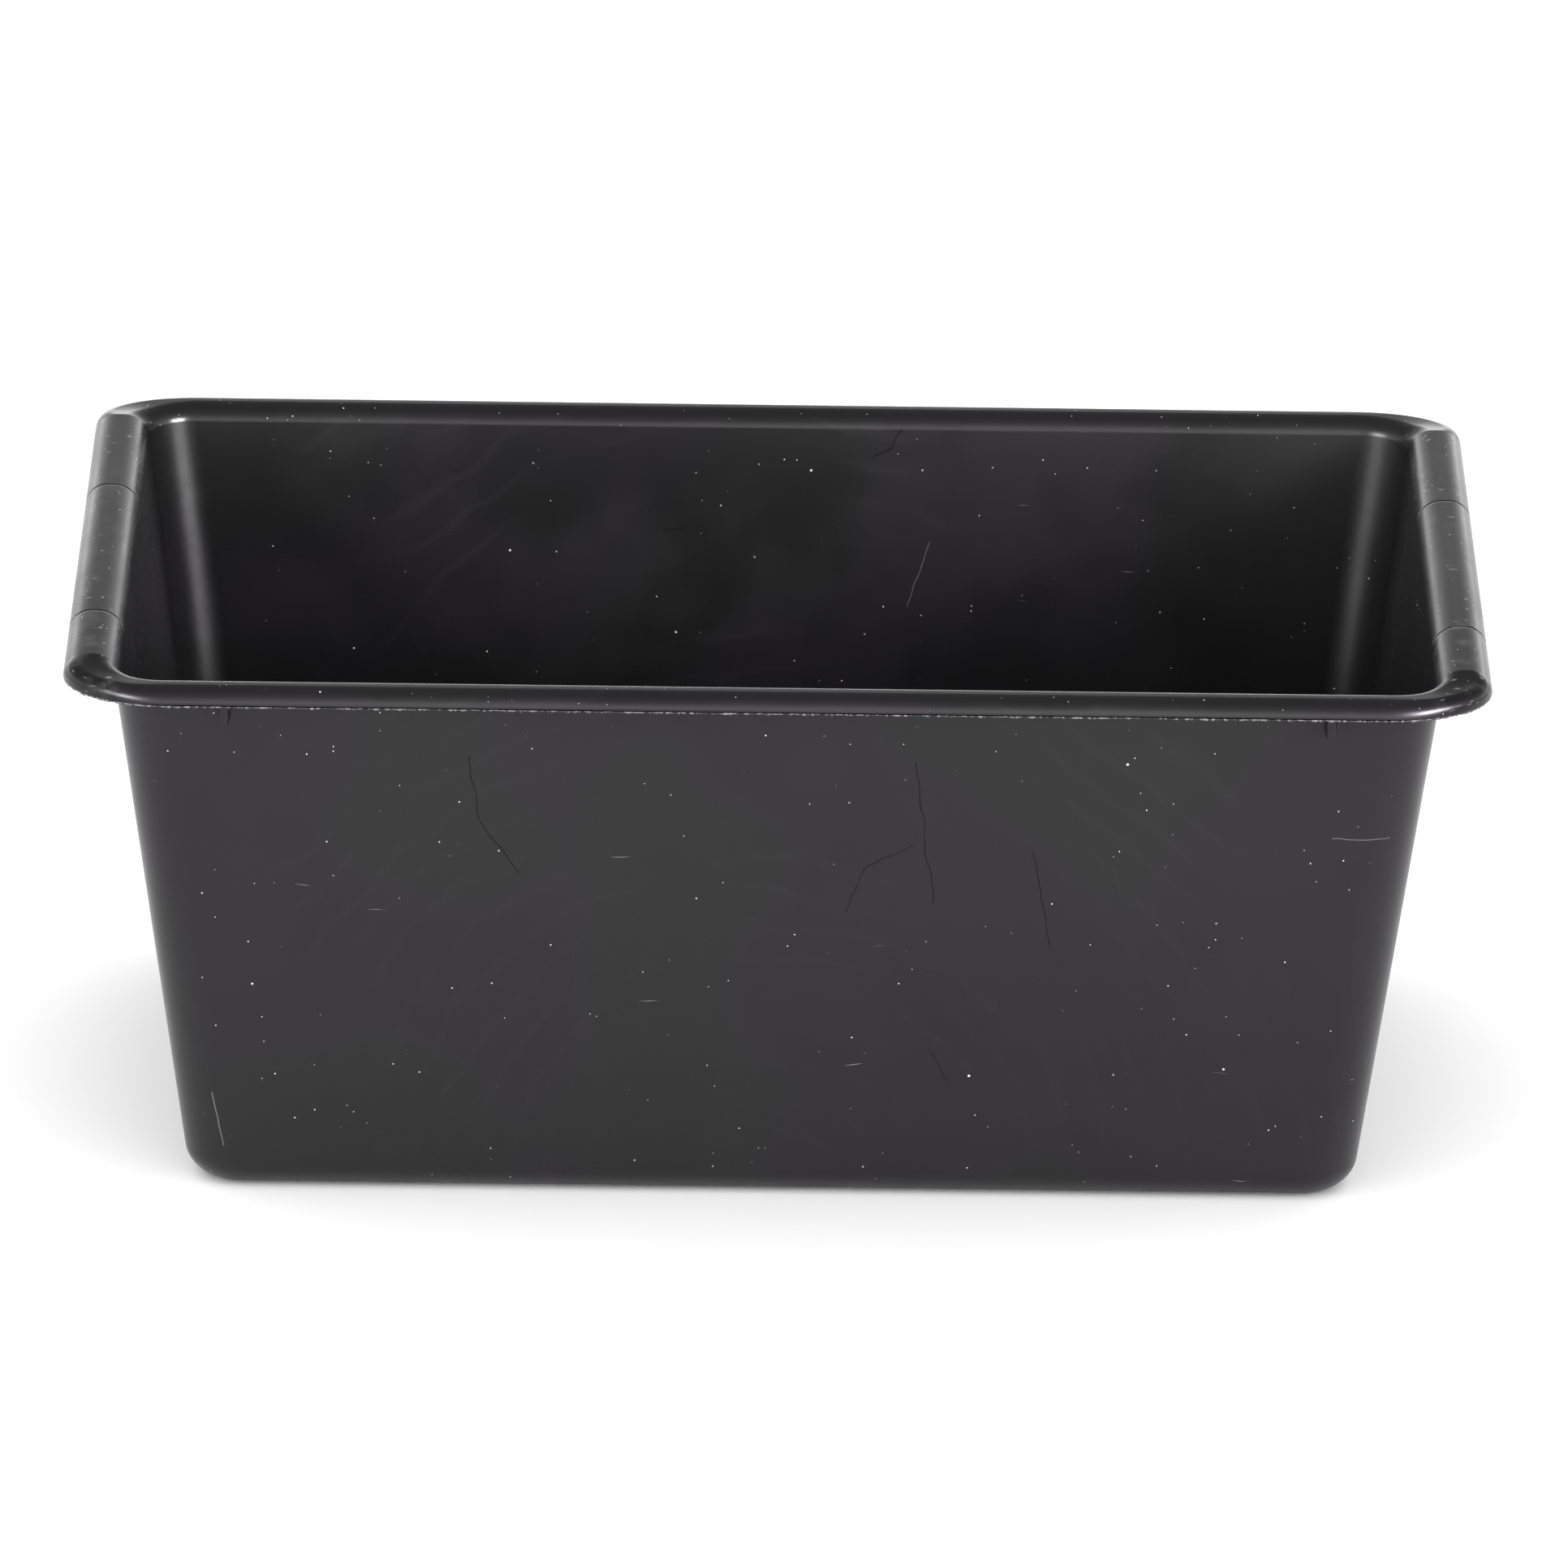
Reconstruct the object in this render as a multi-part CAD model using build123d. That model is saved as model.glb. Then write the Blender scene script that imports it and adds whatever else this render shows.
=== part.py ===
"""Mortar mixing tub: one rectangular moulding, written as the named regions it is made of."""

import math
import os

from build123d import *

os.makedirs("parts", exist_ok=True)

# Overall sizes, mm. Z = 0 is the underside of the floor, X runs along the long sides.
RIM_LENGTH = 720.0
RIM_WIDTH = 446.0
GRIP_CREST = 296.0
LIP_BOTTOM = 284.0

# Body: outer half sizes where the straight walls would meet Z = 0, then their draft.
BODY_X = 298.3
BODY_Y = 168.2
DRAFT = 0.128
WALL = 3.0
FLOOR = 3.5
CORNER_RADIUS = 28.0
BASE_RADIUS = 18.0
PAN_TOP = 20.0
WALL_TOP = 281.0

# Rim: each station is degrees round the corner (0 at the grip, 90 at the long side), the height
# of the top line at its inner and outer ends, and the inner and outer roll radii.
GRIP_LENGTH = 360.0
GRIP_STATION = (0, GRIP_CREST, GRIP_CREST, 13.5, 11.7)
CORNER_STATIONS = [
    (8, 295.1, 295.0, 12.5, 8.5),
    (16, 294.3, 294.2, 11.5, 7.2),
    (30, 293.2, 293.4, 10.3, 6.4),
    (45, 292.6, 293.0, 10.0, 6.4),
    (60, 292.7, 292.9, 10.0, 7.2),
    (75, 293.0, 293.0, 10.0, 8.3),
]
LONG_STATION = (90, 293.2, 293.1, 10.0, 8.8)
RIM_THICKNESS = 3.0

# Stacking ribs under the long rims.
RIB_X = 277.9
RIB_TIP = 214.5
RIB_BOTTOM = 270.5
RIB_TOP = 288.5
RIB_ROOT_WIDTH = 6.5
RIB_TIP_WIDTH = 4.4

# Vertical axis the rim corners turn about: long rim and grip end on the planes through it.
TURN_X = BODY_X + DRAFT * WALL_TOP - CORNER_RADIUS
TURN_Y = GRIP_LENGTH / 2


def body_half(z):
    """Outer half sizes of the body at height z."""
    return BODY_X + DRAFT * z, BODY_Y + DRAFT * z


def hexahedron(bottom, top):
    """Solid with flat faces between two four-sided outlines given in the same order."""
    sides = [
        Face(Wire.make_polygon([bottom[i], bottom[i - 1], top[i - 1], top[i]], close=True))
        for i in range(4)
    ]
    ends = [Face(Wire.make_polygon(ring, close=True)) for ring in (bottom, top)]
    return Solid(Shell(sides + ends))


def tapered_block(inset, z_low, z_high):
    """Rounded rectangular frustum lying inset inside the body's outer faces."""
    sections = []
    for z in (z_low, z_high):
        half_x, half_y = body_half(z)
        outline = RectangleRounded(2 * (half_x - inset), 2 * (half_y - inset), CORNER_RADIUS - inset)
        sections.append(Pos(0, 0, z) * outline)
    return loft(sections, ruled=True)


def floor_pan():
    """Floor with its rounded lower edge, up to where the straight walls begin."""
    outer = tapered_block(0, 0, PAN_TOP + 20)
    outer = fillet(outer.edges().group_by(Axis.Z)[0], BASE_RADIUS)
    inner = tapered_block(WALL, FLOOR, PAN_TOP + 20)
    inner = fillet(inner.edges().group_by(Axis.Z)[0], BASE_RADIUS - WALL)
    above = Pos(0, 0, PAN_TOP + 50) * Box(RIM_LENGTH, RIM_WIDTH, 100)
    return outer - inner - above


def long_wall():
    """Straight front or rear wall, here the rear one."""
    rings = []
    for z in (PAN_TOP, WALL_TOP):
        half_x, half_y = body_half(z)
        end = half_x - CORNER_RADIUS
        inside = half_y - WALL
        rings.append([(-end, inside, z), (end, inside, z), (end, half_y, z), (-end, half_y, z)])
    return hexahedron(*rings)


def end_wall():
    """Straight end wall, here the right one."""
    rings = []
    for z in (PAN_TOP, WALL_TOP):
        half_x, half_y = body_half(z)
        end = half_y - CORNER_RADIUS
        inside = half_x - WALL
        rings.append([(inside, -end, z), (half_x, -end, z), (half_x, end, z), (inside, end, z)])
    return hexahedron(*rings)


def corner_wall():
    """Rounded vertical corner between two straight walls, here the rear right one."""
    sections = []
    for z in (PAN_TOP, WALL_TOP):
        half_x, half_y = body_half(z)
        centre = Vector(half_x - CORNER_RADIUS, half_y - CORNER_RADIUS, z)
        rims = []
        for radius in (CORNER_RADIUS, CORNER_RADIUS - WALL):
            arms = [(radius, 0), (radius * math.sqrt(0.5), radius * math.sqrt(0.5)), (0, radius)]
            rims.append([centre + Vector(x, y, 0) for x, y in arms])
        outer, inner = rims
        edges = [
            ThreePointArc(*outer),
            Line(outer[2], inner[2]),
            ThreePointArc(*reversed(inner)),
            Line(inner[0], outer[0]),
        ]
        sections.append(make_face(edges))
    return loft(sections, ruled=True)


def reach_of_circle(radius, angle, centre):
    """Distance from the turning axis to a circle, along the ray at this angle."""
    dx, dy = centre[0] - TURN_X, centre[1] - TURN_Y
    along = dx * math.cos(angle) + dy * math.sin(angle)
    across = dx * math.sin(angle) - dy * math.cos(angle)
    return along + math.sqrt(radius**2 - across**2)


def outline_reach(angle):
    """Distance from the turning axis to the rim's outer edge, a quarter ellipse in plan."""
    half_x, half_y = RIM_LENGTH / 2 - TURN_X, RIM_WIDTH / 2 - TURN_Y
    return 1 / math.hypot(math.cos(angle) / half_x, math.sin(angle) / half_y)


def rounded_path(points, radii):
    """Edges of an open path through four points, its two inner corners rounded."""
    points = [Vector(p) for p in points]
    edges = []
    start = points[0]
    for i, radius in zip((1, 2), radii):
        back = (points[i - 1] - points[i]).normalized()
        ahead = (points[i + 1] - points[i]).normalized()
        half = math.acos(back.dot(ahead)) / 2
        middle = (back + ahead).normalized()
        tangent = radius / math.tan(half)
        near, far = points[i] + back * tangent, points[i] + ahead * tangent
        crown = points[i] + middle * (radius / math.sin(half) - radius)
        edges += [Line(start, near), ThreePointArc(near, crown, far)]
        start = far
    return edges + [Line(start, points[3])]


def rim_section(station, wall_reach, edge_reach, draft, place):
    """Closed section of the rolled-over rim, as a face put in space by place(reach, z)."""
    _, inner_z, outer_z, inner_radius, outer_radius = station
    paths = []
    for cut in (0.0, RIM_THICKNESS):
        edge = edge_reach - cut
        slope = (outer_z - inner_z) / (edge_reach - wall_reach)
        foot = wall_reach + cut
        high = (inner_z - cut - slope * cut - WALL_TOP) / (1 - slope * draft)
        inner_top = (foot + draft * high, WALL_TOP + high)
        outer_top = (edge, inner_z - cut + slope * (edge - wall_reach))
        corners = [(foot, WALL_TOP), inner_top, outer_top, (edge, LIP_BOTTOM)]
        paths.append(([place(*p) for p in corners], (inner_radius - cut, outer_radius - cut)))
    (above, above_radii), (below, below_radii) = paths
    edges = rounded_path(above, above_radii)
    edges.append(Line(above[3], below[3]))
    edges += rounded_path(below[::-1], below_radii[::-1])
    edges.append(Line(below[0], above[0]))
    return make_face(edges)


def long_rim():
    """Rolled rim of a long side, here the rear one."""
    wall_reach = body_half(WALL_TOP)[1] - WALL
    place = lambda reach, z: (-TURN_X, reach, z)
    face = rim_section(LONG_STATION, wall_reach, RIM_WIDTH / 2, DRAFT, place)
    return extrude(face, 2 * TURN_X, dir=(1, 0, 0))


def grip():
    """Half-round grip along an end wall, here the right one."""
    wall_reach = body_half(WALL_TOP)[0] - WALL
    place = lambda reach, z: (reach, -TURN_Y, z)
    face = rim_section(GRIP_STATION, wall_reach, RIM_LENGTH / 2, DRAFT, place)
    return extrude(face, GRIP_LENGTH, dir=(0, 1, 0))


def rim_corner():
    """Rim sweeping round from the end of a grip to the long rim, here the rear right one."""
    half_x, half_y = body_half(WALL_TOP)
    wall_centre = (half_x - CORNER_RADIUS, half_y - CORNER_RADIUS)
    sections = []
    for station in [GRIP_STATION, *CORNER_STATIONS, LONG_STATION]:
        angle = math.radians(station[0])
        along, aside = math.cos(angle), math.sin(angle)
        place = lambda reach, z: (TURN_X + reach * along, TURN_Y + reach * aside, z)
        wall_reach = reach_of_circle(CORNER_RADIUS - WALL, angle, wall_centre)
        draft = DRAFT * (along + aside)
        sections.append(rim_section(station, wall_reach, outline_reach(angle), draft, place))
    return loft(sections)


def stacking_rib(wall, rim):
    """Small tapered rib under a long rim, here the rear right one."""
    root = BODY_Y + DRAFT * RIB_BOTTOM - WALL / 2
    rings = []
    for z in (RIB_BOTTOM, RIB_TOP):
        foot, tip = RIB_ROOT_WIDTH / 2, RIB_TIP_WIDTH / 2
        rings.append(
            [
                (RIB_X - foot, root, z),
                (RIB_X + foot, root, z),
                (RIB_X + tip, RIB_TIP, z),
                (RIB_X - tip, RIB_TIP, z),
            ]
        )
    solids = (hexahedron(*rings) - wall - rim).solids()
    return solids.sort_by(Axis.Y)[-1]


rear_wall = long_wall()
right_end_wall = end_wall()
rear_rim = long_rim()
right_grip = grip()
corner = corner_wall()
turn = rim_corner()
rib = stacking_rib(rear_wall, rear_rim)

nodes = {
    "floor_pan": floor_pan(),
    "rear_wall": rear_wall,
    "front_wall": mirror(rear_wall, about=Plane.XZ),
    "right_end_wall": right_end_wall,
    "left_end_wall": mirror(right_end_wall, about=Plane.YZ),
    "rear_rim": rear_rim,
    "front_rim": mirror(rear_rim, about=Plane.XZ),
    "right_grip": right_grip,
    "left_grip": mirror(right_grip, about=Plane.YZ),
}
for shape, name in ((corner, "corner_wall"), (turn, "rim_corner"), (rib, "stacking_rib")):
    front = mirror(shape, about=Plane.XZ)
    nodes[f"rear_right_{name}"] = shape
    nodes[f"rear_left_{name}"] = mirror(shape, about=Plane.YZ)
    nodes[f"front_right_{name}"] = front
    nodes[f"front_left_{name}"] = mirror(front, about=Plane.YZ)

for name, shape in nodes.items():
    export_step(shape, f"parts/{name}.step")
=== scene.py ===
"""Mortar mixing tub: the black one-piece moulding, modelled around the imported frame."""

import math

import bmesh
import bpy
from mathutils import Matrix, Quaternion, Vector, noise


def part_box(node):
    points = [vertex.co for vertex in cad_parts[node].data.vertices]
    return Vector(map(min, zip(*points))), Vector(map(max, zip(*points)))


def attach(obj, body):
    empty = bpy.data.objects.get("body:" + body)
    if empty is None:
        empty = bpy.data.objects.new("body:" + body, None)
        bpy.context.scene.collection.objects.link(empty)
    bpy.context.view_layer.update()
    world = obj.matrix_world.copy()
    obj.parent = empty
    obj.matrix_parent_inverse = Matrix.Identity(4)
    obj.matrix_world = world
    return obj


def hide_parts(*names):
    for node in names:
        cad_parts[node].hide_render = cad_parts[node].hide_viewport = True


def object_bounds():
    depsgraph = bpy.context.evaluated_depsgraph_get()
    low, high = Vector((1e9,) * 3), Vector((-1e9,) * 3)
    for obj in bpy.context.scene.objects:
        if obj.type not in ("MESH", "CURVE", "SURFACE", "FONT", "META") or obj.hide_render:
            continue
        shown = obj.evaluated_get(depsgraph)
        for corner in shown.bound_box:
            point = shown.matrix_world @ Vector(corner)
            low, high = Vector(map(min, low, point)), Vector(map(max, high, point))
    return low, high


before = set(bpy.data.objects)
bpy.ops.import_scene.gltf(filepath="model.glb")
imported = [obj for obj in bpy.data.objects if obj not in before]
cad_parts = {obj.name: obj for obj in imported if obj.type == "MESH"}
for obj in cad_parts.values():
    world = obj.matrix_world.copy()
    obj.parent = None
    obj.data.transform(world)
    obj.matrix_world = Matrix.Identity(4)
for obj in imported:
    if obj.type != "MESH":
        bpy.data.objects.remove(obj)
cad_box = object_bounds()

# ---------------------------------------------------------------------------------------------
# Tub body: floor pan, four tapered walls and four rounded corners of one black polyolefin
# moulding, 3 mm thick. The plastic keeps the mould's grain and a faint violet drift, and has
# dust, lint, hairs and rubbed places from use. It also has painted shade, as less gloss on the
# near half of each grip, and a painted highlight beside each witness line. Each region is a
# closed shell of both skins.
# ---------------------------------------------------------------------------------------------
WALL = 0.003
FLOOR = 0.0035
CORNER_RADIUS = 0.028
BASE_RADIUS = 0.018
CORNER_STEPS = 24
SIDE_STEPS = 24
WALL_STEPS = 12
ROLL_STEPS = 12

PLASTIC_BLACK = (0.0072, 0.0070, 0.0074, 1)
# Pale grey of dust, scratches and marks, also used for the painted highlight beside each witness line
DUST_AND_HIGHLIGHT_GREY = (0.70, 0.70, 0.70, 1)
VIOLET_TINT = (1.0, 0.88, 1.04, 1)
ROUGHNESS_LOW = 0.25
ROUGHNESS_HIGH = 0.31
PALE_ROUGHNESS = 0.3
SHINE = 0.31
HAIR_DULLING = -0.26
# Painted shade: gloss taken off the near half of each grip, to darken it the way the light leaves it darker
NEAR_GRIP_SHADE = -0.16
GRAIN_STRENGTH = 0.25
GRAIN_DEPTH = 0.0002
# Heights between which the rim starts, and distances out between which a grip does
RIM_FADE = (0.283, 0.289)
GRIP_FADE = (0.325, 0.335)
# Flow rings of the mould: spacing as radians to a metre, and what they add to gloss
RING_PITCH = 330.0
RING_WANDER = 0.035
RING_ROUGHNESS = 0.02
RING_SHINE = 0.012

# Two witness lines cross each grip, each with a painted highlight beside it: a pale line standing in for the
# light caught by a raised ridge
WITNESS_Y = (0.071, -0.117)
RIDGE_HIGHLIGHT_OFFSET = -0.0013

wall_low, wall_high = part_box("rear_wall")
PAN_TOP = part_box("floor_pan")[1].z
WALL_TOP = wall_high.z
DRAFT = (wall_high.y - WALL - wall_low.y) / (WALL_TOP - PAN_TOP)
BODY_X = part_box("right_end_wall")[1].x - DRAFT * WALL_TOP
BODY_Y = wall_high.y - DRAFT * WALL_TOP

# Hairs and marks from use: the wall, half the width, then points as (along the wall, height), in mm
DARK_HAIRS = [
    ("front", 0.36, (-155, 250), (-150, 215), (-140, 200), (-130, 185)),
    ("front", 0.34, (70, 250), (75, 210), (80, 170)),
    ("front", 0.32, (130, 200), (135, 170), (140, 145)),
    ("front", 0.30, (35, 165), (45, 190), (70, 205)),
    ("front", 0.30, (80, 85), (90, 65)),
    ("rear", 0.34, (65, 285), (60, 275), (50, 270)),
    ("rear", 0.32, (-60, 230), (-50, 230)),
]
PALE_MARKS = [
    ("rear", 0.30, (80, 225), (75, 205), (70, 190)),
    ("left", 0.45, (-75, 260), (-70, 255)),
    ("front", 0.35, (280, 210), (310, 210)),
    ("front", 0.50, (-285, 55), (-280, 25)),
]


def add_node(tree, kind, settings, inputs):
    """A shader node with its settings, each input set to a constant or linked to a socket."""
    node = tree.nodes.new("ShaderNode" + kind)
    for key, value in settings.items():
        setattr(node, key, value)
    for key, value in inputs.items():
        if isinstance(value, bpy.types.NodeSocket):
            tree.links.new(value, node.inputs[key])
        else:
            node.inputs[key].default_value = value
    return node


def calculate(tree, operation, *values):
    """Output of a maths node on constants or sockets."""
    return add_node(tree, "Math", {"operation": operation}, dict(enumerate(values))).outputs[0]


def calculate_vector(tree, operation, *values, output=0):
    """Output of a vector maths node on constants or sockets."""
    return add_node(tree, "VectorMath", {"operation": operation}, dict(enumerate(values))).outputs[output]


def fade(tree, value, start, end, low=0.0, high=1.0):
    """A value eased from low to high as it goes from start to end, held outside them."""
    inputs = {0: value, 1: start, 2: end, 3: low, 4: high}
    return add_node(tree, "MapRange", {"interpolation_type": "SMOOTHSTEP"}, inputs).outputs[0]


def cloud(tree, place, scale, detail=2.0):
    """Value of a noise texture, about 0.3 to 0.7."""
    return add_node(tree, "TexNoise", {}, {"Vector": place, "Scale": scale, "Detail": detail}).outputs[0]


def new_group(name, inputs, outputs):
    """A node group with its sockets, and the sockets its nodes are linked from and to."""
    group = bpy.data.node_groups.new(name, "ShaderNodeTree")
    for in_out, sockets in (("INPUT", inputs), ("OUTPUT", outputs)):
        for label, kind in sockets.items():
            group.interface.new_socket(label, in_out=in_out, socket_type="NodeSocket" + kind)
    entry = group.nodes.new("NodeGroupInput")
    return group, entry.outputs, group.nodes.new("NodeGroupOutput").inputs


def use_group(tree, group, inputs):
    """A group placed in a tree; returns its first output."""
    return add_node(tree, "Group", {"node_tree": group}, inputs).outputs[0]


def strongest(tree, masks):
    """The highest of several masks at each place."""
    highest = masks[0]
    for mask in masks[1:]:
        highest = calculate(tree, "MAXIMUM", highest, mask)
    return highest


fine_grain, entry, result = new_group("fine_grain", {"Place": "Vector"}, {"Height": "Float"})
coarse_part = cloud(fine_grain, entry[0], 160.0, 2.0)
fine_part = cloud(fine_grain, entry[0], 900.0, 3.0)
fine_part = calculate(fine_grain, "MULTIPLY", fine_part, 0.4)
height = calculate(fine_grain, "MULTIPLY_ADD", coarse_part, 0.6, fine_part)
fine_grain.links.new(height, result[0])

violet_drift, entry, result = new_group("violet_drift", {"Place": "Vector"}, {"Tint": "Color"})
patches = fade(violet_drift, cloud(violet_drift, entry[0], 6.0, 1.5), 0.44, 0.58)
tints = {0: patches, 6: (1.0, 1.0, 1.0, 1), 7: VIOLET_TINT}
mixed = add_node(violet_drift, "Mix", {"data_type": "RGBA"}, tints)
violet_drift.links.new(mixed.outputs[2], result[0])

dust_specks, entry, result = new_group(
    "dust_specks", {"Place": "Vector", "Scale": "Float", "Share": "Float"}, {"Mask": "Float"}
)
cells = add_node(dust_specks, "TexVoronoi", {}, {"Vector": entry[0], "Scale": entry[1]})
chance = add_node(dust_specks, "SeparateColor", {}, {0: cells.outputs["Color"]})
chosen = calculate(dust_specks, "LESS_THAN", chance.outputs[0], entry[2])
size = fade(dust_specks, chance.outputs[1], 0.0, 1.0, 0.04, 0.12)
inside = calculate(dust_specks, "LESS_THAN", cells.outputs["Distance"], size)
dust_specks.links.new(calculate(dust_specks, "MULTIPLY", chosen, inside), result[0])

fine_scratches, entry, result = new_group(
    "fine_scratches", {"Place": "Vector", "Share": "Float"}, {"Mask": "Float"}
)
wander = add_node(fine_scratches, "TexNoise", {}, {"Vector": entry[0], "Scale": 22.0, "Detail": 1.0})
bent = calculate_vector(fine_scratches, "MULTIPLY_ADD", wander.outputs[1], (0.012,) * 3, entry[0])
layers = []
for turn in ((0.3, 0.9, 0.2), (1.2, -0.6, 0.8), (-0.7, 0.4, 1.9), (2.1, 1.4, -0.5)):
    inputs = {"Vector": bent, "Rotation": turn, "Scale": (26.0, 110.0, 620.0)}
    stretched = add_node(fine_scratches, "Mapping", {}, inputs).outputs[0]
    cells = add_node(fine_scratches, "TexVoronoi", {}, {"Vector": stretched, "Scale": 1.0})
    chance = add_node(fine_scratches, "SeparateColor", {}, {0: cells.outputs["Color"]})
    chosen = calculate(fine_scratches, "LESS_THAN", chance.outputs[0], entry[1])
    streak = fade(fine_scratches, cells.outputs["Distance"], 0.16, 0.05)
    layers.append(calculate(fine_scratches, "MULTIPLY", chosen, streak))
fine_scratches.links.new(strongest(fine_scratches, layers), result[0])

single_mark, entry, result = new_group(
    "single_mark",
    {"Place": "Vector", "Start": "Vector", "End": "Vector", "Width": "Float", "Flatten": "Vector"},
    {"Mask": "Float"},
)
span = calculate_vector(single_mark, "SUBTRACT", entry[2], entry[1])
span = calculate_vector(single_mark, "MULTIPLY", span, entry[4])
offset = calculate_vector(single_mark, "SUBTRACT", entry[0], entry[1])
offset = calculate_vector(single_mark, "MULTIPLY", offset, entry[4])
reached = calculate_vector(single_mark, "DOT_PRODUCT", offset, span, output=1)
whole = calculate_vector(single_mark, "DOT_PRODUCT", span, span, output=1)
share = add_node(single_mark, "Clamp", {}, {0: calculate(single_mark, "DIVIDE", reached, whole)}).outputs[0]
nearest = add_node(single_mark, "VectorMath", {"operation": "SCALE"}, {0: span, "Scale": share}).outputs[0]
gap = calculate_vector(single_mark, "DISTANCE", offset, nearest, output=1)
gap = calculate(single_mark, "DIVIDE", gap, entry[3])
single_mark.links.new(fade(single_mark, gap, 1.0, 0.4), result[0])

black_plastic = bpy.data.materials.new("scuffed_black_plastic")
black_plastic.use_nodes = True
tree = black_plastic.node_tree
plastic = tree.nodes["Principled BSDF"]
place = add_node(tree, "TexCoord", {}, {}).outputs["Object"]
axes = add_node(tree, "SeparateXYZ", {}, {0: place}).outputs
drift = add_node(tree, "TexNoise", {}, {"Vector": place, "Scale": 60.0, "Detail": 1.0}).outputs[1]
warped = calculate_vector(tree, "MULTIPLY_ADD", drift, (0.004,) * 3, place)
warped = calculate_vector(tree, "SUBTRACT", warped, (0.002,) * 3)


def wall_place(wall, along, height):
    """Point on the outside of the front wall, or on the inside of the rear or left one."""
    along, height = along / 1000, height / 1000
    if wall == "front":
        return (along, -BODY_Y - DRAFT * height, height)
    if wall == "rear":
        return (along, BODY_Y + DRAFT * height - WALL, height)
    return (WALL - BODY_X - DRAFT * height, along, height)


def marks_mask(marks):
    """Mask of every stroke of every mark, measured flat on the wall that the mark lies on."""
    strokes = []
    for wall, half_width, *points in marks:
        for start, end in zip(points, points[1:]):
            inputs = {
                "Place": warped,
                "Start": wall_place(wall, *start),
                "End": wall_place(wall, *end),
                "Width": half_width / 1000,
                "Flatten": (0.02, 1, 1) if wall == "left" else (1, 0.02, 1),
            }
            strokes.append(use_group(tree, single_mark, inputs))
    return strongest(tree, strokes)


rim_share = fade(tree, axes[2], *RIM_FADE)
end_share = fade(tree, calculate(tree, "ABSOLUTE", axes[0]), *GRIP_FADE)
grip_share = calculate(tree, "MULTIPLY", rim_share, end_share)
# Near half of each grip: this mask places the grips' handling scratches and haze, and also painted shade as
# less gloss
near_share = fade(tree, axes[1], 0.02, -0.2, 0.35, 1.0)
handled_and_shaded = calculate(tree, "MULTIPLY", grip_share, near_share)

dust = use_group(tree, dust_specks, {"Place": place, "Scale": 300.0, "Share": 0.07})
crumbs = use_group(tree, dust_specks, {"Place": place, "Scale": 170.0, "Share": 0.02})
rim_dust_share = calculate(tree, "MULTIPLY", rim_share, 0.10)
rim_dust = use_group(tree, dust_specks, {"Place": place, "Scale": 420.0, "Share": rim_dust_share})
crumbs = calculate(tree, "MULTIPLY", crumbs, fade(tree, cloud(tree, place, 25.0), 0.45, 0.55, 0.3, 1.0))
scratch_share = calculate(tree, "MULTIPLY_ADD", handled_and_shaded, 0.7, 0.002)
scratches = use_group(tree, fine_scratches, {"Place": place, "Share": scratch_share})
# Painted highlight: a pale line beside each witness line, in place of the light a raised ridge would catch
ridge_highlights = []
for line in WITNESS_Y:
    gap = calculate(tree, "ABSOLUTE", calculate(tree, "SUBTRACT", axes[1], line + RIDGE_HIGHLIGHT_OFFSET))
    ridge_highlights.append(calculate(tree, "MULTIPLY", fade(tree, gap, 0.0007, 0.0002), grip_share))
haze = calculate(tree, "MULTIPLY", fade(tree, cloud(tree, place, 70.0, 4.0), 0.48, 0.75), handled_and_shaded)

pale_layers = [
    (scratches, 0.22),
    (dust, 0.8),
    (crumbs, 0.9),
    (rim_dust, 0.6),
    (strongest(tree, ridge_highlights), 0.16),
    (haze, 0.05),
    (marks_mask(PALE_MARKS), 0.13),
]
pale = strongest(tree, [calculate(tree, "MULTIPLY", layer, share) for layer, share in pale_layers])
dark = marks_mask(DARK_HAIRS)

ring_offset = calculate_vector(tree, "MULTIPLY", place, (1.0, 0.0, 1.0))
ring = calculate_vector(tree, "LENGTH", ring_offset, output=1)
ring = calculate(tree, "MULTIPLY_ADD", cloud(tree, place, 18.0), RING_WANDER, ring)
ring = calculate(tree, "SINE", calculate(tree, "MULTIPLY", ring, RING_PITCH))
ring = calculate(tree, "MULTIPLY", fade(tree, ring, 0.6, 1.0), fade(tree, cloud(tree, place, 9.0), 0.5, 0.6))

colours = {0: pale, 6: PLASTIC_BLACK, 7: DUST_AND_HIGHLIGHT_GREY}
base = add_node(tree, "Mix", {"data_type": "RGBA"}, colours).outputs[2]
tree.links.new(base, plastic.inputs["Base Color"])
tree.links.new(use_group(tree, violet_drift, {"Place": place}), plastic.inputs["Specular Tint"])
rough = fade(tree, cloud(tree, place, 12.0, 3.0), 0.35, 0.65, ROUGHNESS_LOW, ROUGHNESS_HIGH)
rough = calculate(tree, "MULTIPLY_ADD", pale, PALE_ROUGHNESS, rough)
rough = calculate(tree, "MULTIPLY_ADD", ring, RING_ROUGHNESS, rough)
tree.links.new(rough, plastic.inputs["Roughness"])
shine = calculate(tree, "MULTIPLY_ADD", dark, HAIR_DULLING, SHINE)
# Painted shade: less gloss on the near half of each grip
shine = calculate(tree, "MULTIPLY_ADD", handled_and_shaded, NEAR_GRIP_SHADE, shine)
shine = calculate(tree, "MULTIPLY_ADD", ring, RING_SHINE, shine)
tree.links.new(shine, plastic.inputs["Specular IOR Level"])
plastic.inputs["IOR"].default_value = 1.5
grain = use_group(tree, fine_grain, {"Place": place})
relief = calculate(tree, "MULTIPLY_ADD", scratches, -0.5, grain)
bump = add_node(tree, "Bump", {}, {"Strength": GRAIN_STRENGTH, "Distance": GRAIN_DEPTH, "Height": relief})
tree.links.new(bump.outputs[0], plastic.inputs["Normal"])


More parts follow.
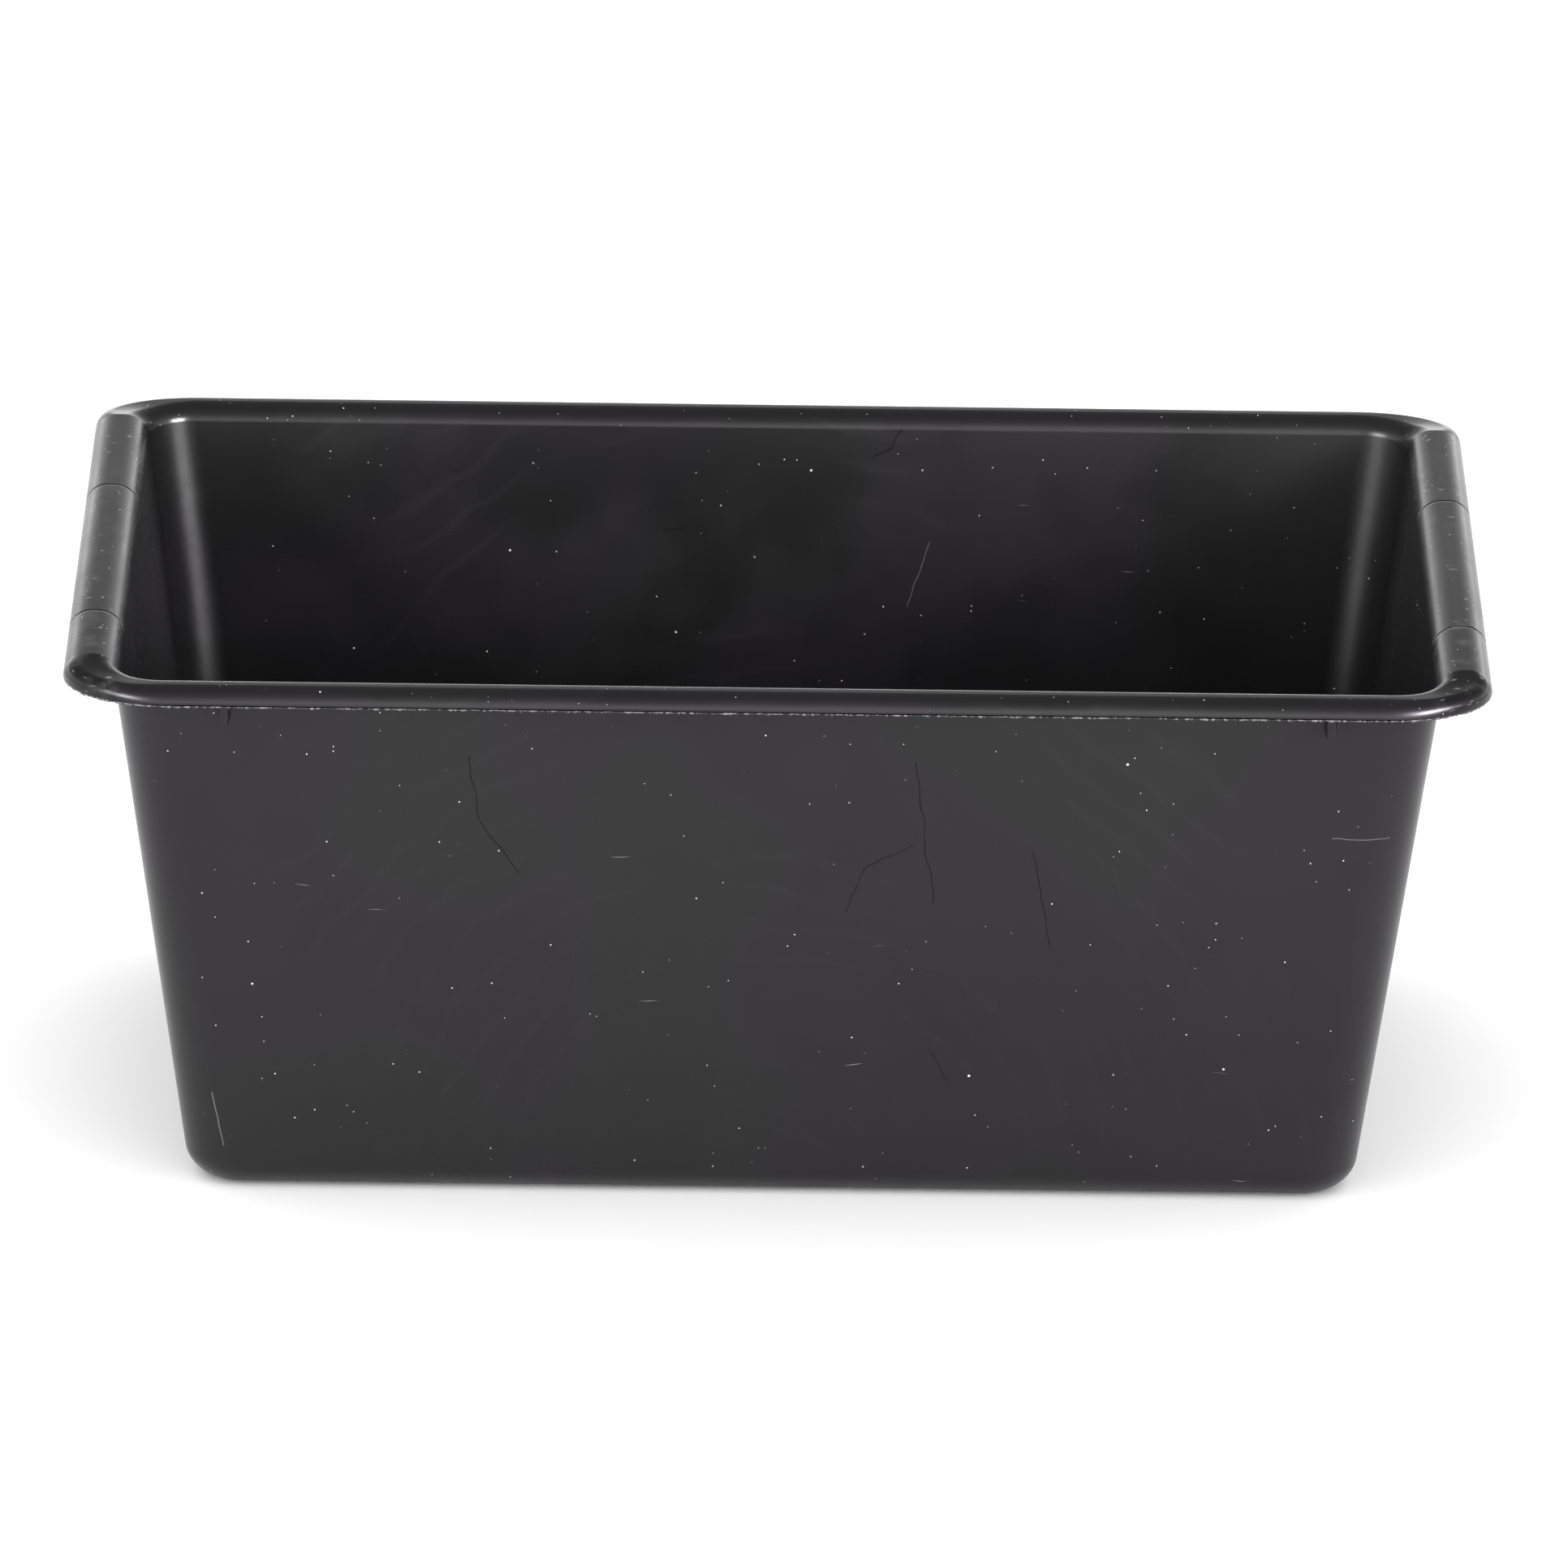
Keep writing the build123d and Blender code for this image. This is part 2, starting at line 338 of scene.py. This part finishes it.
def body_row(station, path):
    """Points and normals up one skin of the body, at a station (share of X, share of Y, angle)."""
    share_x, share_y, angle = station
    out = Vector((math.cos(angle), math.sin(angle), 0))
    round_body = Vector((-math.sin(angle), math.cos(angle), 0))
    row = []
    for inset, z, d_inset, d_z in path:
        x = share_x * (BODY_X + DRAFT * z - CORNER_RADIUS)
        y = share_y * (BODY_Y + DRAFT * z - CORNER_RADIUS)
        point = Vector((x, y, z)) + out * (CORNER_RADIUS - inset)
        rise = Vector((share_x * DRAFT * d_z, share_y * DRAFT * d_z, d_z)) - out * d_inset
        row.append((point, round_body.cross(rise).normalized()))
    return row


def wall_path(skin):
    """Straight way up one skin of a wall, from the pan to the rim, as (inset, z, slopes)."""
    rise = WALL_TOP - PAN_TOP
    heights = [PAN_TOP + rise * step / WALL_STEPS for step in range(WALL_STEPS + 1)]
    return [(skin, z, 0, 1) for z in heights]


def base_path(radius, floor_z, skin):
    """Way up the rounded lower edge of one skin, from the flat floor to the pan's top."""
    lean = math.atan(DRAFT)
    tangent = radius * math.tan((math.pi / 2 - lean) / 2)
    path = []
    for step in range(ROLL_STEPS + 1):
        angle = -math.pi / 2 + (math.pi / 2 - lean) * step / ROLL_STEPS
        height = radius + radius * math.sin(angle)
        inset = skin + tangent - radius * math.cos(angle) + DRAFT * height
        d_inset = radius * math.sin(angle) + DRAFT * radius * math.cos(angle)
        path.append((inset, floor_z + height, d_inset, radius * math.cos(angle)))
    return path + [(skin, PAN_TOP, 0, 1)]


def shell_mesh(name, upper, lower, closed=False, flat_middle=False):
    """Closed mesh between two skins, upper[i][j] and lower[i][j], each a (point, normal)."""
    rows, columns = len(upper), len(upper[0])
    points = [entry[0] for skin in (upper, lower) for row in skin for entry in row]
    normals = [entry[1] * turn for skin, turn in ((upper, 1), (lower, -1)) for row in skin for entry in row]
    below = rows * columns
    faces, smooth = [], []
    for i in range(rows if closed else rows - 1):
        k = (i + 1) % rows
        for j in range(columns - 1):
            a, b, c, d = i * columns + j, i * columns + j + 1, k * columns + j + 1, k * columns + j
            faces += [(a, d, c, b), (below + a, below + b, below + c, below + d)]
            smooth += [True, True]
        a, d = i * columns + columns - 1, k * columns + columns - 1
        faces.append((a, d, below + d, below + a))
        smooth.append(False)
        a, d = i * columns, k * columns
        if not flat_middle:
            faces.append((a, below + a, below + d, d))
            smooth.append(False)
    if not closed:
        for j in range(columns - 1):
            for a, b in ((j, j + 1), (below - columns + j + 1, below - columns + j)):
                faces.append((a, b, below + b, below + a))
                smooth.append(False)
    if flat_middle:
        for start, turn in ((0, -1), (below, 1)):
            middle = len(points)
            points.append(Vector((0, 0, points[start].z)))
            normals.append(Vector((0, 0, turn)))
            for i in range(rows):
                a, d = start + i * columns, start + (i + 1) % rows * columns
                faces.append((middle, a, d)[::turn])
                smooth.append(True)
    mesh = bpy.data.meshes.new(name)
    mesh.from_pydata(points, [], faces)
    mesh.polygons.foreach_set("use_smooth", [True] * len(faces))
    mesh.update()
    corner_normals = []
    for polygon, skin in zip(mesh.polygons, smooth):
        for vertex in polygon.vertices:
            corner_normals.append(normals[vertex] if skin else polygon.normal.copy())
    mesh.normals_split_custom_set(corner_normals)
    return mesh


def add_piece(name, mesh, material, *nodes):
    """Puts a mesh in the scene as a piece on the one body, standing for its CAD nodes."""
    piece = bpy.data.objects.new(name, mesh)
    bpy.context.scene.collection.objects.link(piece)
    mesh.materials.append(material)
    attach(piece, "root")
    if nodes:
        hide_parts(*nodes)
    return piece


QUARTERS = {"rear_right": (1, 1), "rear_left": (-1, 1), "front_left": (-1, -1), "front_right": (1, -1)}
SIDES = {"right_end_wall": 0, "rear_wall": 90, "left_end_wall": 180, "front_wall": 270}


def corner_stations(share_x, share_y):
    """Stations round one vertical corner, anticlockwise seen from above."""
    start = {(1, 1): 0, (-1, 1): 90, (-1, -1): 180, (1, -1): 270}[(share_x, share_y)]
    turns = [start + 90 * step / CORNER_STEPS for step in range(CORNER_STEPS + 1)]
    return [(share_x, share_y, math.radians(turn)) for turn in turns]


def side_stations(degrees, steps):
    """Stations along one straight side, anticlockwise seen from above."""
    angle = math.radians(degrees)
    out_x, out_y = round(math.cos(angle)), round(math.sin(angle))
    shares = [-1 + 2 * step / steps for step in range(steps + 1)]
    return [(out_x - out_y * share, out_y + out_x * share, angle) for share in shares]


inner, outer = wall_path(WALL), wall_path(0)
for name, degrees in SIDES.items():
    stations = side_stations(degrees, SIDE_STEPS)
    mesh = shell_mesh(name, [body_row(s, outer) for s in stations], [body_row(s, inner) for s in stations])
    add_piece(f"tub_{name}", mesh, black_plastic, name)
for name, shares in QUARTERS.items():
    stations = corner_stations(*shares)
    mesh = shell_mesh(name, [body_row(s, outer) for s in stations], [body_row(s, inner) for s in stations])
    add_piece(f"tub_{name}_corner", mesh, black_plastic, f"{name}_corner_wall")

stations = []
for degrees, shares in zip(SIDES.values(), QUARTERS.values()):
    stations += side_stations(degrees, SIDE_STEPS)[:-1] + corner_stations(*shares)[:-1]
pan_outer = base_path(BASE_RADIUS, 0, 0)
pan_inner = base_path(BASE_RADIUS - WALL, FLOOR, WALL)
mesh = shell_mesh(
    "floor_pan",
    [body_row(s, pan_outer) for s in stations],
    [body_row(s, pan_inner) for s in stations],
    closed=True,
    flat_middle=True,
)
add_piece("tub_floor_pan", mesh, black_plastic, "floor_pan")

# ---------------------------------------------------------------------------------------------
# Rolled rim: the same moulding turned over outwards all round and left open underneath. It is a
# low half round along the long sides, and its corners drop to it from the higher end grips.
# ---------------------------------------------------------------------------------------------
RIM_THICKNESS = 0.003
LIP_BOTTOM = 0.2840
LIP_ROUND = 0.0009
# The two skins end this far in from the edge, on either side of the lip's middle
LIP_MIDDLE = 0.0015
LIP_SEAM = 0.00005
RIM_ROLL_STEPS = 10
LIP_ROLL_STEPS = 4
LONG_RIM_STEPS = 60
CORNER_TURNS = 36
# Degrees to each side of a station between which its surface is taken to run
NORMAL_REACH = 0.2

TURN_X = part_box("rear_rim")[1].x
TURN_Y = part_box("right_grip")[1].y
EDGE_X = cad_box[1].x
EDGE_Y = cad_box[1].y
CREST = cad_box[1].z
# (degrees round the corner, height of the top line inside and outside, inner and outer roll)
RIM_STATIONS = [
    (0, CREST, CREST, 0.0135, 0.0117),
    (8, CREST - 0.0009, CREST - 0.0010, 0.0125, 0.0085),
    (16, CREST - 0.0017, CREST - 0.0018, 0.0115, 0.0072),
    (30, CREST - 0.0028, CREST - 0.0026, 0.0103, 0.0064),
    (45, CREST - 0.0034, CREST - 0.0030, 0.0100, 0.0064),
    (60, CREST - 0.0033, CREST - 0.0031, 0.0100, 0.0072),
    (75, CREST - 0.0030, CREST - 0.0030, 0.0100, 0.0083),
    (90, CREST - 0.0028, CREST - 0.0029, 0.0100, 0.0088),
]


def rim_measures(turn):
    """Heights and roll radii of the rim at an angle round the corner, eased between stations."""
    last = len(RIM_STATIONS) - 1
    n = next(n for n in range(last) if turn <= RIM_STATIONS[n + 1][0])
    low, high = RIM_STATIONS[n], RIM_STATIONS[n + 1]
    before, after = RIM_STATIONS[max(n - 1, 0)], RIM_STATIONS[min(n + 2, last)]
    span = high[0] - low[0]
    share = (turn - low[0]) / span
    measures = []
    for m in range(1, 5):
        slope_low = (high[m] - before[m]) / (high[0] - before[0]) * span
        slope_high = (after[m] - low[m]) / (after[0] - low[0]) * span if n + 2 <= last else 0
        bend = 2 * (low[m] - high[m]) + slope_low + slope_high
        lift = 3 * (high[m] - low[m]) - 2 * slope_low - slope_high
        measures.append(((bend * share + lift) * share + slope_low) * share + low[m])
    return measures


def circle_reach(radius, angle, centre_x, centre_y):
    """Distance from the corner's turning axis to a circle, along the ray at this angle."""
    dx, dy = centre_x - TURN_X, centre_y - TURN_Y
    along = dx * math.cos(angle) + dy * math.sin(angle)
    across = dx * math.sin(angle) - dy * math.cos(angle)
    return along + math.sqrt(radius**2 - across**2)


def turned(vector, angle):
    """A flat vector turned anticlockwise."""
    x, y = vector
    return Vector((x * math.cos(angle) - y * math.sin(angle), x * math.sin(angle) + y * math.cos(angle)))


def rolled_path(corners, radii, steps):
    """Points (reach, z, slopes) along straight runs joined by rounded corners."""
    points = [Vector(corner) for corner in corners]
    runs = [(b - a).normalized() for a, b in zip(points, points[1:])]
    path = [(*points[0], *runs[0])]
    for n, (radius, count) in enumerate(zip(radii, steps), 1):
        before, after = runs[n - 1], runs[n]
        turn = math.atan2(before.x * after.y - before.y * after.x, before.dot(after))
        start = points[n] - before * radius * math.tan(abs(turn) / 2)
        side = turned(before, math.copysign(math.pi / 2, turn))
        for step in range(count + 1):
            angle = turn * step / count
            place = start + side * radius - turned(side, angle) * radius
            path.append((*place, *turned(before, angle)))
    return path + [(*points[-1], *runs[-1])]


def rim_paths(turn, wall_reach, edge_reach, draft):
    """Underside and top of the rolled rim's section, each from the wall round to the lip."""
    inner_z, outer_z, inner_roll, outer_roll = rim_measures(turn)
    slope = (outer_z - inner_z) / (edge_reach - wall_reach)
    paths = []
    for cut, lip_end in ((RIM_THICKNESS, LIP_MIDDLE + LIP_SEAM), (0.0, LIP_MIDDLE - LIP_SEAM)):
        foot = wall_reach + cut
        high = (inner_z - cut - slope * cut - WALL_TOP) / (1 - slope * draft)
        corners = [
            (foot, WALL_TOP),
            (foot + draft * high, WALL_TOP + high),
            (edge_reach - cut, inner_z - cut + slope * (edge_reach - wall_reach)),
            (edge_reach - cut, LIP_BOTTOM),
            (edge_reach - lip_end, LIP_BOTTOM),
        ]
        radii = (inner_roll - cut, outer_roll - cut, LIP_ROUND)
        paths.append(rolled_path(corners, radii, (RIM_ROLL_STEPS, RIM_ROLL_STEPS, LIP_ROLL_STEPS)))
    return paths


def rim_point(station, reach, z):
    """Point of the rim at a station (share of X, share of Y, angle)."""
    share_x, share_y, angle = station
    out = Vector((math.cos(angle), math.sin(angle), 0))
    return Vector((share_x * TURN_X, share_y * TURN_Y, z)) + out * reach


def straight_rim_row(station, path):
    """Points and normals over a straight length of rim."""
    out = Vector((math.cos(station[2]), math.sin(station[2]), 0))
    along = Vector((-out.y, out.x, 0))
    row = []
    for reach, z, d_reach, d_z in path:
        rise = out * d_reach + Vector((0, 0, d_z))
        row.append((rim_point(station, reach, z), along.cross(rise).normalized()))
    return row


def corner_paths(turn):
    """Section paths of the rim corner at an angle in degrees from the grip."""
    angle = math.radians(turn)
    along, aside = math.cos(angle), math.sin(angle)
    wall_x = BODY_X + DRAFT * WALL_TOP - CORNER_RADIUS
    wall_y = BODY_Y + DRAFT * WALL_TOP - CORNER_RADIUS
    wall_reach = circle_reach(CORNER_RADIUS - WALL, angle, wall_x, wall_y)
    edge_reach = 1 / math.hypot(along / (EDGE_X - TURN_X), aside / (EDGE_Y - TURN_Y))
    return rim_paths(turn, wall_reach, edge_reach, DRAFT * (along + aside))


def corner_rim_rows(shares):
    """Rows of both skins round one rim corner, anticlockwise seen from above."""
    share_x, share_y = shares
    rows = ([], [])
    for step in range(CORNER_TURNS + 1):
        turn = 90 * step / CORNER_TURNS
        near, far = max(turn - NORMAL_REACH, 0), min(turn + NORMAL_REACH, 90)
        here, before, after = corner_paths(turn), corner_paths(near), corner_paths(far)
        for skin in (0, 1):
            row = []
            for now, low, high in zip(here[skin], before[skin], after[skin]):
                spots = [rim_point((1, 1, math.radians(t)), *p[:2]) for t, p in ((near, low), (far, high))]
                out = Vector((math.cos(math.radians(turn)), math.sin(math.radians(turn)), 0))
                rise = out * now[2] + Vector((0, 0, now[3]))
                normal = (spots[1] - spots[0]).cross(rise).normalized()
                point = rim_point((1, 1, math.radians(turn)), *now[:2])
                mirror = Vector((share_x, share_y, 1))
                row.append((point * mirror, normal * mirror))
            rows[skin].append(row)
    if share_x * share_y < 0:
        rows = [skin[::-1] for skin in rows]
    return rows


for name, shares in QUARTERS.items():
    below, above = corner_rim_rows(shares)
    mesh = shell_mesh(f"{name}_rim_corner", below, above)
    add_piece(f"rolled_{name}_rim_corner", mesh, black_plastic, f"{name}_rim_corner")

for name, degrees in (("rear_rim", 90), ("front_rim", 270)):
    wall_reach = BODY_Y + DRAFT * WALL_TOP - WALL - TURN_Y
    below, above = rim_paths(90, wall_reach, EDGE_Y - TURN_Y, DRAFT)
    stations = side_stations(degrees, LONG_RIM_STEPS)
    mesh = shell_mesh(
        name, [straight_rim_row(s, below) for s in stations], [straight_rim_row(s, above) for s in stations]
    )
    add_piece(f"rolled_{name}", mesh, black_plastic, name)

# ---------------------------------------------------------------------------------------------
# End grips: the rim rolled higher and wider for the hand. Two fine witness lines cross each
# one, shallow grooves where slides of the mould met.
# ---------------------------------------------------------------------------------------------
GROOVE_DEPTH = 0.00035
GROOVE_WIDTH = 0.0006
GROOVE_STEP = 0.00025
# The grooves end this far above the lip
GROOVE_FOOT = 0.002
GRIP_STEPS = 48
GRIP_END_STEP = 0.0006


def witness_lift(y):
    """Height and slope along Y of the witness lines at this place along a grip."""
    lift = slope = 0.0
    for line in WITNESS_Y:
        dip = GROOVE_DEPTH * math.exp(-(((y - line) / GROOVE_WIDTH) ** 2))
        lift -= dip
        slope += dip * 2 * (y - line) / GROOVE_WIDTH**2
    return lift, slope


def grip_rows(side):
    """Rows of both skins along one grip, side +1 right or -1 left."""
    coarse = [TURN_Y * (-1 + 2 * step / GRIP_STEPS) for step in range(GRIP_STEPS + 1)]
    fine = [line + step * GROOVE_STEP for line in WITNESS_Y for step in range(-14, 11)]
    fine += [edge * (TURN_Y - step * GRIP_END_STEP) for edge in (-1, 1) for step in range(1, 8)]
    places = sorted(set(coarse + fine))
    rows = ([], [])
    for y in places:
        past = max(abs(y) - (BODY_Y + DRAFT * WALL_TOP - CORNER_RADIUS), 0)
        wall_reach = math.sqrt((CORNER_RADIUS - WALL) ** 2 - past**2)
        wall_reach += BODY_X + DRAFT * WALL_TOP - CORNER_RADIUS - TURN_X
        lift, slope = witness_lift(y)
        paths = rim_paths(0, wall_reach, EDGE_X - TURN_X, DRAFT)
        for skin, path in enumerate(paths):
            row = []
            for point, normal in straight_rim_row((1, y / TURN_Y, 0), path):
                if skin == 1 and point.z > LIP_BOTTOM + GROOVE_FOOT:
                    point = point - normal * lift
                    normal = (normal + Vector((0, slope, 0))).normalized()
                row.append((point * Vector((side, 1, 1)), normal * Vector((side, 1, 1))))
            rows[skin].append(row)
    if side < 0:
        rows = [skin[::-1] for skin in rows]
    return rows


for name, side in (("right_grip", 1), ("left_grip", -1)):
    below, above = grip_rows(side)
    add_piece(f"half_round_{name}", shell_mesh(name, below, above), black_plastic, name)

# ---------------------------------------------------------------------------------------------
# Stacking ribs: four small tapered webs under the long rims, moulded with the tub, which stop
# nested tubs from jamming. Their edges are slightly rounded.
# ---------------------------------------------------------------------------------------------
RIB_TIP_SHARE = 0.68
RIB_EDGE_ROUND = 0.0006
RIB_ROOT_SINK = 0.0012
RIB_TOP_SINK = 0.001


def rib_mesh(name, low, high, front):
    """Tapered web from the wall to its free edge, its root and top sunk into the moulding."""
    middle = (low.x + high.x) / 2
    half = (high.x - low.x) / 2
    root_y, tip_y = (high.y, low.y) if front else (low.y, high.y)
    sink = RIB_ROOT_SINK if front else -RIB_ROOT_SINK
    work = bmesh.new()
    rings = []
    for z in (low.z, high.z + RIB_TOP_SINK):
        lean = DRAFT * (z - low.z) * (-1 if front else 1)
        places = [(-half, root_y + sink + lean), (half, root_y + sink + lean)]
        places += [(half * RIB_TIP_SHARE, tip_y), (-half * RIB_TIP_SHARE, tip_y)]
        rings.append([work.verts.new((middle + x, y, z)) for x, y in places])
    for n in range(4):
        work.faces.new((rings[0][n], rings[0][n - 1], rings[1][n - 1], rings[1][n]))
    work.faces.new(rings[0])
    work.faces.new(rings[1][::-1])
    bmesh.ops.recalc_face_normals(work, faces=work.faces)
    bmesh.ops.bevel(work, geom=work.edges, offset=RIB_EDGE_ROUND, segments=3, profile=0.5, affect="EDGES")
    mesh = bpy.data.meshes.new(name)
    work.to_mesh(mesh)
    work.free()
    mesh.polygons.foreach_set("use_smooth", [True] * len(mesh.polygons))
    mesh.set_sharp_from_angle(angle=math.radians(40))
    return mesh


for name in QUARTERS:
    node = f"{name}_stacking_rib"
    low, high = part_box(node)
    add_piece(f"moulded_{node}", rib_mesh(node, low, high, "front" in name), black_plastic, node)

# ---------------------------------------------------------------------------------------------
# Flash: the thin ragged fin of the same plastic that the mould leaves along the rim's lower
# edge, all the way round. It is a closed fin of three points to a station.
# ---------------------------------------------------------------------------------------------
FLASH_LOW = 0.0001
FLASH_HIGH = 0.0010
FLASH_SPACING = 0.0008
FLASH_CORNER_STEPS = 48
FLASH_DARK = (0.03, 0.03, 0.032, 1)
FLASH_PALE = (0.30, 0.29, 0.30, 1)


def flash_mesh():
    """Closed ragged fin under the outer edge of the lip."""
    spots = []
    for degrees, shares in ((0, (1, 1)), (90, (-1, 1)), (180, (-1, -1)), (270, (1, -1))):
        length = 2 * (TURN_X if degrees % 180 else TURN_Y)
        edge = EDGE_Y - TURN_Y if degrees % 180 else EDGE_X - TURN_X
        for station in side_stations(degrees, round(length / FLASH_SPACING))[:-1]:
            spots.append((station, edge))
        for step in range(FLASH_CORNER_STEPS):
            turn = 90 * step / FLASH_CORNER_STEPS
            quarter = turn if degrees % 180 == 0 else 90 - turn
            angle = math.radians(quarter)
            reach = 1 / math.hypot(math.cos(angle) / (EDGE_X - TURN_X), math.sin(angle) / (EDGE_Y - TURN_Y))
            spots.append(((*shares, math.radians(degrees + turn)), reach))
    points, faces = [], []
    for station, edge in spots:
        place = rim_point(station, edge, LIP_BOTTOM)
        ragged = 0.45 + 0.5 * noise.noise(place * 110) + 0.9 * noise.noise(place * 800)
        tip = FLASH_LOW + (FLASH_HIGH - FLASH_LOW) * min(max(ragged, 0), 1)
        for inset, rise in ((0.0001, 0.0009), (0.0004, -tip), (0.0009, 0.0004)):
            points.append(rim_point(station, edge - inset, LIP_BOTTOM + rise))
    count = len(spots)
    for i in range(count):
        k = (i + 1) % count
        for n in range(3):
            m = (n + 1) % 3
            faces.append((3 * i + n, 3 * i + m, 3 * k + m, 3 * k + n))
    mesh = bpy.data.meshes.new("rim_flash")
    mesh.from_pydata(points, [], faces)
    mesh.polygons.foreach_set("use_smooth", [True] * len(faces))
    mesh.update()
    return mesh


pale_flash = bpy.data.materials.new("ragged_pale_flash")
pale_flash.use_nodes = True
fin = pale_flash.node_tree.nodes["Principled BSDF"]
fin_tree = pale_flash.node_tree
fin_place = add_node(fin_tree, "TexCoord", {}, {}).outputs["Object"]
chalky = fade(fin_tree, cloud(fin_tree, fin_place, 500.0, 3.0), 0.46, 0.62)
colours = {0: chalky, 6: FLASH_DARK, 7: FLASH_PALE}
base = add_node(fin_tree, "Mix", {"data_type": "RGBA"}, colours).outputs[2]
fin_tree.links.new(base, fin.inputs["Base Color"])
fin_tree.links.new(fade(fin_tree, chalky, 0.0, 1.0, 0.4, 0.8), fin.inputs["Roughness"])
fin_grain = use_group(fin_tree, fine_grain, {"Place": fin_place})
fin_bump = add_node(fin_tree, "Bump", {}, {"Strength": 0.5, "Distance": 0.0003, "Height": fin_grain})
fin_tree.links.new(fin_bump.outputs[0], fin.inputs["Normal"])
add_piece("rim_flash", flash_mesh(), pale_flash)

# ---------------------------------------------------------------------------------------------
# Studio: a plain pale floor, a surround bright at the horizon, an overhead light kept out of the
# gloss, two side softboxes seen only in the gloss, and the camera.
# ---------------------------------------------------------------------------------------------
FLOOR_HALF = 30.0
floor_mesh = bpy.data.meshes.new("studio_floor")
floor_corners = [(x * FLOOR_HALF, y * FLOOR_HALF, 0) for x, y in ((-1, -1), (1, -1), (1, 1), (-1, 1))]
floor_mesh.from_pydata(floor_corners, [], [(0, 1, 2, 3)])
studio_floor = bpy.data.objects.new("studio_floor", floor_mesh)
bpy.context.scene.collection.objects.link(studio_floor)
pale_paint = bpy.data.materials.new("pale_floor_paint")
pale_paint.use_nodes = True
paint = pale_paint.node_tree.nodes["Principled BSDF"]
paint.inputs["Base Color"].default_value = (0.9, 0.9, 0.9, 1)
paint.inputs["Roughness"].default_value = 0.9
paint.inputs["Specular IOR Level"].default_value = 0.0
floor_mesh.materials.append(pale_paint)

world = bpy.data.worlds.new("studio_surround")
bpy.context.scene.world = world
world.use_nodes = True
surround = world.node_tree


def tone_ramp(height, tones):
    """Brightness of the surround against height above the horizon, as (height, tone) stops."""
    ramp = add_node(surround, "ValToRGB", {}, {0: height})
    for n, (place, tone) in enumerate(tones):
        stop = ramp.color_ramp.elements[n] if n < 2 else ramp.color_ramp.elements.new(place)
        stop.position = place
        stop.color = (tone, tone, tone, 1)
    return ramp.outputs[0]


BACK_TONES = [(0.0, 4.2), (0.09, 2.8), (0.18, 0.9), (0.36, 0.45), (0.50, 0.25), (1.0, 0.25)]
FRONT_TONES = [(0.0, 4.4), (0.25, 2.4), (0.6, 0.8), (1.0, 0.25)]
heading = add_node(surround, "TexCoord", {}, {}).outputs["Generated"]
parts = add_node(surround, "SeparateXYZ", {}, {0: heading}).outputs
backness = add_node(surround, "MapRange", {}, {0: parts["Y"], 1: -0.2, 2: 0.4}).outputs[0]
tones = {0: backness, 6: tone_ramp(parts["Z"], FRONT_TONES), 7: tone_ramp(parts["Z"], BACK_TONES)}
sky = add_node(surround, "Mix", {"data_type": "RGBA"}, tones).outputs[2]
surround.links.new(sky, surround.nodes["Background"].inputs[0])


def softbox(name, place, aim, width, height, watts):
    """Rectangular area light facing a point."""
    lamp = bpy.data.lights.new(name, "AREA")
    lamp.shape = "RECTANGLE"
    lamp.size, lamp.size_y = width, height
    lamp.energy = watts
    box = bpy.data.objects.new(name, lamp)
    bpy.context.scene.collection.objects.link(box)
    box.location = place
    box.rotation_euler = (Vector(aim) - Vector(place)).to_track_quat("-Z", "Y").to_euler()
    return box


overhead = softbox("overhead_softbox", (0, 1.0, 4.0), (0, 1.0, 0), 12.0, 12.0, 640)
overhead.visible_glossy = False
for side, watts in ((1, 850), (-1, 280)):
    name = "right_gleam_softbox" if side > 0 else "left_gleam_softbox"
    gleam = softbox(name, (3.1 * side, -3.3, 1.5), (-0.3 * side, 0.2, 0.2), 2.4, 0.9, watts)
    gleam.visible_diffuse = False

CAMERA_AIM = Vector((0.00465, 0, 0.16103))
CAMERA_ELEVATION = math.radians(21.0)
CAMERA_AZIMUTH = math.radians(-0.277)
CAMERA_ROLL = math.radians(0.80)
CAMERA_DISTANCE = 7.504
CAMERA_LENS = 332.4
CAMERA_SENSOR = 36
CAMERA_FAR = 100
toward = Vector((
    math.sin(CAMERA_AZIMUTH) * math.cos(CAMERA_ELEVATION),
    -math.cos(CAMERA_AZIMUTH) * math.cos(CAMERA_ELEVATION),
    math.sin(CAMERA_ELEVATION),
))
lens = bpy.data.cameras.new("studio_camera")
lens.lens = CAMERA_LENS
lens.sensor_width = CAMERA_SENSOR
lens.clip_end = CAMERA_FAR
camera = bpy.data.objects.new("studio_camera", lens)
bpy.context.scene.collection.objects.link(camera)
turn_back = toward.to_track_quat("Z", "Y")
camera.rotation_mode = "QUATERNION"
camera.rotation_quaternion = turn_back @ Quaternion((0, 0, 1), CAMERA_ROLL)
camera.location = CAMERA_AIM + toward * CAMERA_DISTANCE
bpy.context.scene.camera = camera
bpy.context.scene.view_settings.view_transform = "Standard"
